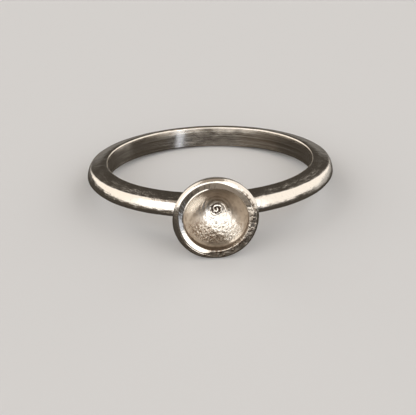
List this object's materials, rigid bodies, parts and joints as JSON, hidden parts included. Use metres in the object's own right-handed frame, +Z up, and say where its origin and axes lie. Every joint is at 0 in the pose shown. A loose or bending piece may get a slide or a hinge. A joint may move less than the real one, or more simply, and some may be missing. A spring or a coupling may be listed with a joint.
{
  "type": "finger ring with an empty round bezel cup",
  "caption": "Plain silver finger ring with a half-round shank and an empty round bezel cup soldered on it, ready to take a cabochon or pearl.",
  "frame": {"origin": "on the surface that the ring lies on, below the middle of the ring's box", "axes": "+Z up, square to that surface; the cup faces -Y; +X is to the right seen from the cup's side; the ring's axis leans back from +Z by the 6.4 degrees at which the ring rests"},
  "size_m": [0.0208, 0.0232, 0.0066],
  "materials": {
    "silver": "hand-filed and satin polished sterling silver"
  },
  "bodies": {
    "root": {"bezel_ring": "silver"}
  },
  "joints": []
}
